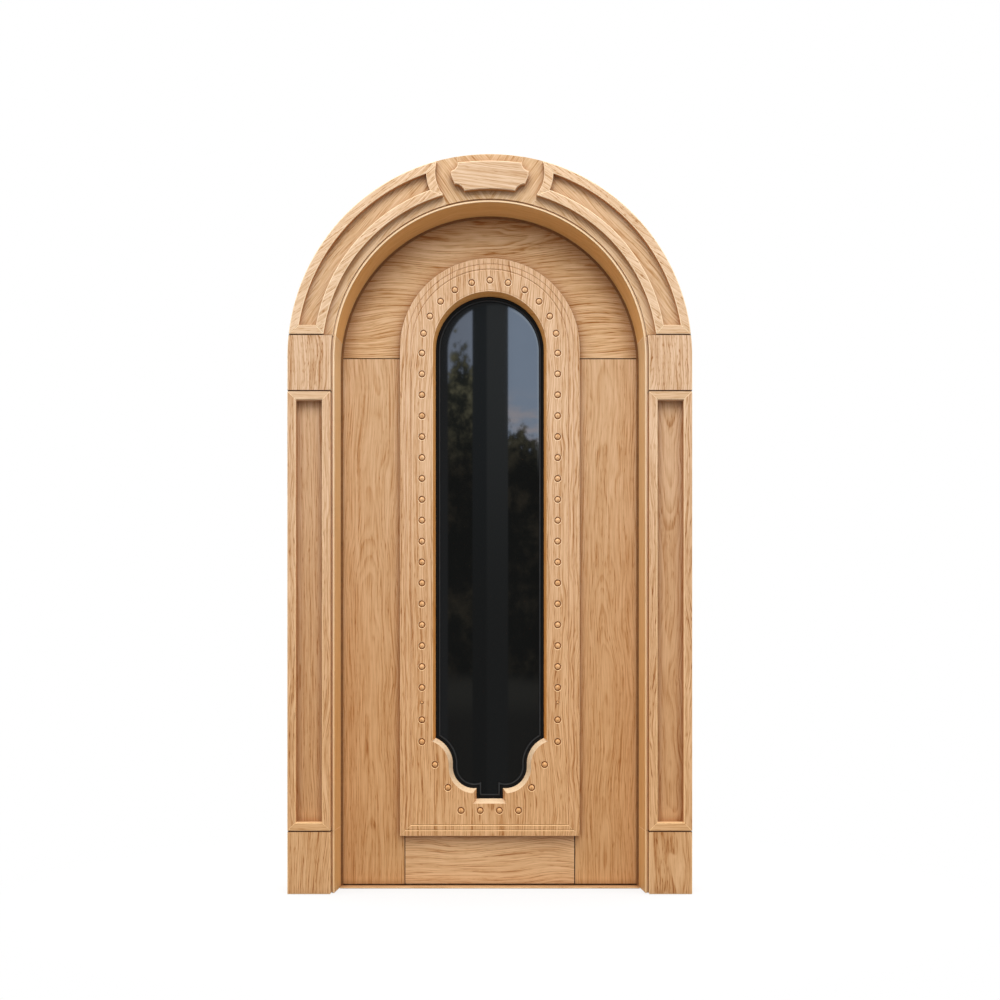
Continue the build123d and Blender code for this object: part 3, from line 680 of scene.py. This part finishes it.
def corner_ticks(name, inner, outer, width):
    """Fine V cuts on the mitres of the panel's two lower corners, between two insets."""
    points, faces = [], []
    for side in (-1, 1):
        start = len(points)
        for inset, deep in ((outer, 0.0018), (inner, 0.001)):
            x, z = side * (panel_half - inset), panel_foot + inset
            points += [(x - side * width, panel_front - 0.0005, z - width),
                       (x + side * width, panel_front - 0.0005, z + width), (x, panel_front + deep, z)]
        faces += [tuple(start + n for n in face) for face in
                  ((0, 1, 2), (3, 4, 5), (0, 1, 4, 3), (1, 2, 5, 4), (2, 0, 3, 5))]
    piece = add_mesh(name, points, faces)
    face_outwards(piece)
    return piece


def settle(piece):
    """Makes a piece's modifiers part of its mesh."""
    shape = bpy.data.meshes.new_from_object(piece.evaluated_get(bpy.context.evaluated_depsgraph_get()))
    piece.modifiers.clear()
    piece.data = shape


small_stud = 0.01
studs = [((low[0] + high[0]) / 2, (low[2] + high[2]) / 2, 1.0 if high[0] - low[0] > small_stud else 0.5)
         for low, high in solid_boxes("stud_buttons")]
# Each seat's eased mouth takes the pale arris finish as a painted highlight, and its wall and floor the
# darker seat finish as painted shade.
seat_rings = [(0.0138, panel_front - 0.0005, arris_slot, 0), (0.0110, panel_front + 0.0012, seat_slot, 0),
              (0.0106, panel_front + 0.0036, seat_slot, 0)]
scribe_at = window_half + 0.0045
scribe_cut = [(scribe_at - 0.0014, panel_front - 0.0003), (scribe_at, panel_front + 0.0014),
              (scribe_at + 0.0014, panel_front - 0.0003)]
cutters = [
    turned("seats", studs, seat_rings, sides=28),
    round_headed("scribe", scribe_cut, cusp_height, panel_spring, steps=44),
    corner_ticks("ticks", inner=0.034, outer=0.006, width=0.0013),
    lobe_slopes("lobes", outer=-0.0048, inner=0.0078, inside=0.02)]
face_outwards(cutters[1])
panel = bpy.data.objects.new("raised_panel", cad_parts["outer_panel"].data.copy())
bpy.context.collection.objects.link(panel)
panel.data.materials.clear()
for finish in (panel_oak, pale_arris, seat_shade, reveal_oak, lit_slope_oak):
    panel.data.materials.append(finish)
ease_edges(panel, 0.0006)
for cutter in cutters:
    cut = panel.modifiers.new(cutter.name, "BOOLEAN")
    cut.operation = "DIFFERENCE"
    cut.solver = "EXACT"
    cut.object = cutter
settle(panel)
for cutter in cutters:
    bpy.data.objects.remove(cutter)

# The grooves in the panel's border are plain, but the slopes that face up at its foot take the pale
# arris finish as a painted highlight. The window's reveal is golden from the head down to the cusps.
for face in panel.data.polygons:
    x, y, z = face.center
    over = max(0, z - panel_spring)
    margin = min(panel_half - sqrt(x * x + over * over), z - panel_foot)
    in_groove = 0.004 < margin < 0.04 and y > panel_front + 0.0001
    in_reveal = z > cusp_height and margin > 0.1 and panel_front + 0.0008 < y < reveal_back
    if in_groove:
        faces_up = face.normal.z > 0.3 and z < panel_foot + 0.05
        face.material_index = arris_slot if faces_up else face_slot
    elif in_reveal and face.material_index in (face_slot, arris_slot):
        face.material_index = reveal_slot
even_shading(panel)
panel.data.shade_smooth()
panel.data.set_sharp_from_angle(angle=radians(28))
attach(panel, "leaf")
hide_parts("outer_panel")
dress("inner_panel", panel_oak, 0.001, pale_arris)
dress("core_board", rail_oak, 0.0005)


# ---------------------------------------------------------------- buttons
# Oak buttons, turned with a low dome and a pip where the lathe held them. Each is glued in its
# seat. The rings round its foot and its pip take seat_shade, as painted shade.
button_oak = oak("button_oak", upright, (233, 190, 143), 88.6, contrast=0.7, dash_length=0.02,
                 corners=0.1)
# Radius, depth behind the panel's face, and slot of each ring, from the foot to the pip.
dome = [(0.0079, 0.0036, 1), (0.0082, 0.0022, 1), (0.0080, 0.0006, 0), (0.0072, -0.0008, 0),
        (0.0058, -0.0020, 0), (0.0042, -0.0028, 0), (0.0027, -0.0032, 0), (0.0019, -0.0033, 1),
        (0.0015, -0.0039, 0), (0.0004, -0.0043, 0)]
dome_rings = [(radius, panel_front + depth, slot, 0) for radius, depth, slot in dome]
buttons = turned("turned_buttons", studs, dome_rings, sides=24)
for finish in (button_oak, seat_shade):
    buttons.data.materials.append(finish)
buttons.data.shade_smooth()
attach(buttons, "leaf")
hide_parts("stud_buttons")


# ---------------------------------------------------------------- glass
# Dark tinted double glazing, and a rubber gasket outside it that follows the window's outline
# with a raised rib.
def dark_glass(name, tone):
    """Glass that is tinted nearly black, with a faint haze."""
    finish = Finish(name)
    x, y, z = finish.place()
    haze = finish.noise(x * 3, y * 3, z * 1.2, 2)
    base = finish.mix(haze, [tone * 0.8] * 3, [tone * 1.2] * 3)
    return finish.close(finish.node("ShaderNodeBsdfPrincipled", None, {
        "Base Color": base, "Roughness": 0.015 + haze * 0.02, "IOR": 1.55}))


pane_glass = dark_glass("pane_glass", 0.0035)
for node in ("glass_outer", "glass_inner"):
    dress(node, pane_glass, 0.0003)
bead_rubber = rubber("bead_rubber", [0.0035] * 3, 0.5)
# The rib's rubber is a paler grey: a painted highlight along it.
rib_highlight_rubber = rubber("rib_highlight_rubber", [0.028, 0.030, 0.032], 0.35)
dress("glass_edge_bar", bead_rubber, 0.0003)
gasket_back = 0.02295
# Inset from the window's outline, depth and slot of each line of the gasket, across the rib and
# back along the glass.
gasket_profile = [(0.0078, 0.0160, 0), (0.0090, 0.0156, 0), (0.0125, 0.0164, 0), (0.0150, 0.0180, 0),
                  (0.0164, 0.0194, 0), (0.0172, 0.0178, 1), (0.0184, 0.0170, 1), (0.0208, 0.0170, 1),
                  (0.0222, 0.0180, 0), (0.0234, 0.0202, 0), (0.0238, gasket_back, 0),
                  (0.0091, gasket_back, 0)]
loops = []
for inset, depth, slot in gasket_profile:
    right = window_line(inset)
    loops.append([(x, depth, z) for x, z in right + [(-x, z) for x, z in reversed(right[1:])]])
around = len(loops[0])
gasket_faces, gasket_slots = [], []
for p, (inset, depth, slot) in enumerate(gasket_profile):
    a, b = p * around, (p + 1) % len(loops) * around
    for n in range(around):
        m = (n + 1) % around
        gasket_faces.append((a + n, a + m, b + m, b + n))
        gasket_slots.append(slot)
gasket = add_mesh("window_gasket", [point for loop in loops for point in loop], gasket_faces)
for face, slot in zip(gasket.data.polygons, gasket_slots):
    face.material_index = slot
face_outwards(gasket)
for finish in (bead_rubber, rib_highlight_rubber):
    gasket.data.materials.append(finish)
gasket.data.shade_smooth()
gasket.data.set_sharp_from_angle(angle=radians(40))
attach(gasket, "leaf")
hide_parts("glazing_bead")


# ---------------------------------------------------------------- street side
# What stands opposite and shows only as a reflection in the glass: an open sky, a dark post and
# trees, drawn on one card that throws no light or shade.
def street_card(depth):
    """The card, as large as the reflection needs, seen by glossy rays alone. It is drawn at the
    size at which it shows in the glass."""
    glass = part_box("glass_outer")[0][1]
    shrink = 1 / (1 + (glass - depth) / (glass + eye_distance))
    half, foot, head = 0.9, -0.2, 3.3
    card = add_mesh("street_card", [(-half, depth, foot), (half, depth, foot), (half, depth, head),
                                    (-half, depth, head)], [(0, 1, 2, 3)])
    finish = Finish("street")
    x, y, z = finish.place()
    x, z = x * shrink, (z - eye_height) * shrink + eye_height
    haze = finish.noise(x * 6, z * 9, 1.7, 3, 0.6)
    cloud = finish.noise(x * 9, z * 26, 4.1, 3, 0.6)
    leafage = finish.noise(x * 26, z * 20, 8.3, 4, 0.7)
    clump = finish.noise(x * 9, z * 7, 3.9, 2, 0.6)

    # Evening sky with low cloud.
    sky = finish.mix(finish.rise(x, -0.1, 0.1), srgb(95, 102, 114), srgb(109, 121, 137))
    low_cloud = finish.rise(z, 1.62, 1.5) * finish.rise(cloud, 0.35, 0.7)
    sky = finish.mix(low_cloud, sky, srgb(136, 131, 134))
    sky = finish.mix(haze * 0.25, sky, srgb(84, 92, 104))

    # Trees with gaps in their leaves, higher on the left, dark below and with ground at their feet.
    left_top, right_top = 1.74, 1.46
    left = finish.rise(x, -0.01, 0.01, 1, 0)
    top = left * left_top + (1 - left) * right_top + (clump - 0.5) * 0.26 + (leafage - 0.5) * 0.3
    top = top - left * finish.rise((x + 0.1).sum("ABSOLUTE"), 0.015, 0.045) * 0.06
    trees = finish.rise(z - top, 0.02, -0.04)
    gap = finish.rise(leafage, 0.62, 0.75) * finish.rise(z, 1.35, 1.6) * 0.6
    leaves = finish.mix(finish.rise(leafage, 0.4, 0.68), srgb(22, 24, 21), srgb(74, 72, 56))
    night = finish.mix(finish.rise(clump * leafage, 0.2, 0.45), srgb(12, 13, 12), srgb(34, 31, 25))
    leaves = finish.mix(finish.rise(z, 1.66, 1.3), leaves, night)
    ground = finish.mix(finish.rise(z, 0.62, 0.52), srgb(30, 30, 28), srgb(22, 22, 21))
    leaves = finish.mix(finish.rise(z + haze * 0.05, 0.72, 0.66), leaves, ground)
    view = finish.mix(trees * (1 - gap), sky, leaves)

    # A dark post in the middle, with one side a little brighter.
    fade = finish.rise(z, 0.7, 1.9)
    post = finish.mix(fade, srgb(19, 20, 20), srgb(25, 28, 30))
    bright = finish.mix(fade, srgb(23, 24, 24), srgb(38, 40, 41))
    post = finish.mix(finish.rise(x, -0.014, -0.006), post, bright)
    view = finish.mix(finish.rise(x, -0.0575, -0.0545) * finish.rise(x, 0.0605, 0.0575), view, post)

    # Painted reflection: the card draws the window's own round edge as the pane's far side would
    # mirror it, a pale line, then black.
    edge_middle, edge_spring = 0.013, 1.727
    out = reach_of(x - edge_middle, (z - edge_spring).sum("MAXIMUM", 0))
    rim = finish.rise(out, 0.1405, 0.1425) * finish.rise(out, 0.1465, 0.1445) * finish.rise(x, 0.06, 0.09)
    view = finish.mix(rim * finish.rise(z, 1.3, 1.6) * 0.5, view, srgb(150, 158, 166))
    view = finish.mix(finish.rise(out, 0.146, 0.151), view, srgb(26, 27, 28))
    glow = finish.node("ShaderNodeEmission", None, {"Color": view, "Strength": 20.6})
    card.data.materials.append(finish.close(glow))
    panes = bpy.data.collections.new("panes")
    panes.objects.link(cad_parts["glass_outer"])
    card.light_linking.receiver_collection = panes
    card.visible_camera = card.visible_diffuse = card.visible_transmission = card.visible_shadow = False


street_card(depth=-2.5)


# ---------------------------------------------------------------- hinges, lock and handle
# Brushed stainless steel: lift-off hinges let in flush, a deadlock with its turn on the room
# side, the keep in the post, and a straight pull handle on two posts.
def steel(name, along):
    """Steel brushed along one axis, with faint smears from hands."""
    finish = Finish(name)
    place = dict(zip("xyz", finish.place()))
    fine = [place[axis] * (20 if axis == along else 900) for axis in "xyz"]
    brush = finish.noise(*fine, 2, 0.6)
    smear = finish.noise(place["x"] * 14, place["y"] * 14, place["z"] * 9, 2)
    base = finish.mix(brush * 0.7 + smear * 0.3, srgb(148, 148, 147), srgb(192, 191, 188))
    roughness = 0.26 + brush * 0.12 + smear * 0.08
    return finish.surface(base, roughness, (0.15, 0.0001), brush, {"Metallic": 1})


upright_steel = steel("upright_steel", "z")
level_steel = steel("level_steel", "x")
for node in ("hinge_frame_plates", "hinge_leaf_plates", "keep_plate", "lock_faceplate", "lock_case"):
    dress(node, upright_steel, 0.0004)
dress("pull_handle", upright_steel, 0.0008)
for node in ("turn_rose", "thumb_turn", "lock_cam", "deadbolt"):
    dress(node, level_steel, 0.0005)


# ---------------------------------------------------------------- screws
# Countersunk steel screws with a star recess, flush in the hinge flaps, the keep and the
# lock's faceplate.
def screws(name, body, spots, surface, inwards):
    """Screw heads in a surface that faces across the doorway. Each ring of a head has a radius, a
    depth, a slot and how star-shaped it is."""
    head = [(0.0042, 0.0004, 0, 0), (0.0042, -0.00002, 0, 0), (0.0037, -0.00015, 0, 0),
            (0.0019, -0.00015, 0, 0.5), (0.0015, 0.0012, 1, 0.55)]
    rings = [(radius, surface + inwards * depth, slot, star) for radius, depth, slot, star in head]
    piece = turned(name, [(y, z, 1) for y, z in spots], rings, sides=16, along="x")
    for finish in (upright_steel, recess_shade):
        piece.data.materials.append(finish)
    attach(piece, body)


recess_shade = rubber("recess_shade", srgb(60, 60, 60), 0.5)
flap_heights = (-0.038, -0.014, 0.014, 0.038)
flap_columns = (0.012, 0.028)
plate_end = 0.009
post_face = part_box("frame_post_left")[1][0]
leaf_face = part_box("stile_left")[0][0]
for name, body, node, surface, inwards in (
        ("hinge_frame_screws", "frame", "hinge_frame_plates", post_face, -1),
        ("hinge_leaf_screws", "leaf", "hinge_leaf_plates", leaf_face, 1)):
    spots = []
    for low, high in solid_boxes(node):
        middle = (low[2] + high[2]) / 2
        spots += [(low[1] + flap_columns[n % 2], middle + height)
                  for n, height in enumerate(flap_heights)]
    screws(name, body, spots, surface, inwards)
for name, body, node, outside, inwards in (("keep_screws", "frame", "keep_plate", 0, 1),
                                           ("faceplate_screws", "leaf", "lock_faceplate", 1, -1)):
    low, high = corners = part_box(node)
    spots = [((low[1] + high[1]) / 2, z) for z in (low[2] + plate_end, high[2] - plate_end)]
    screws(name, body, spots, corners[outside][0], inwards)
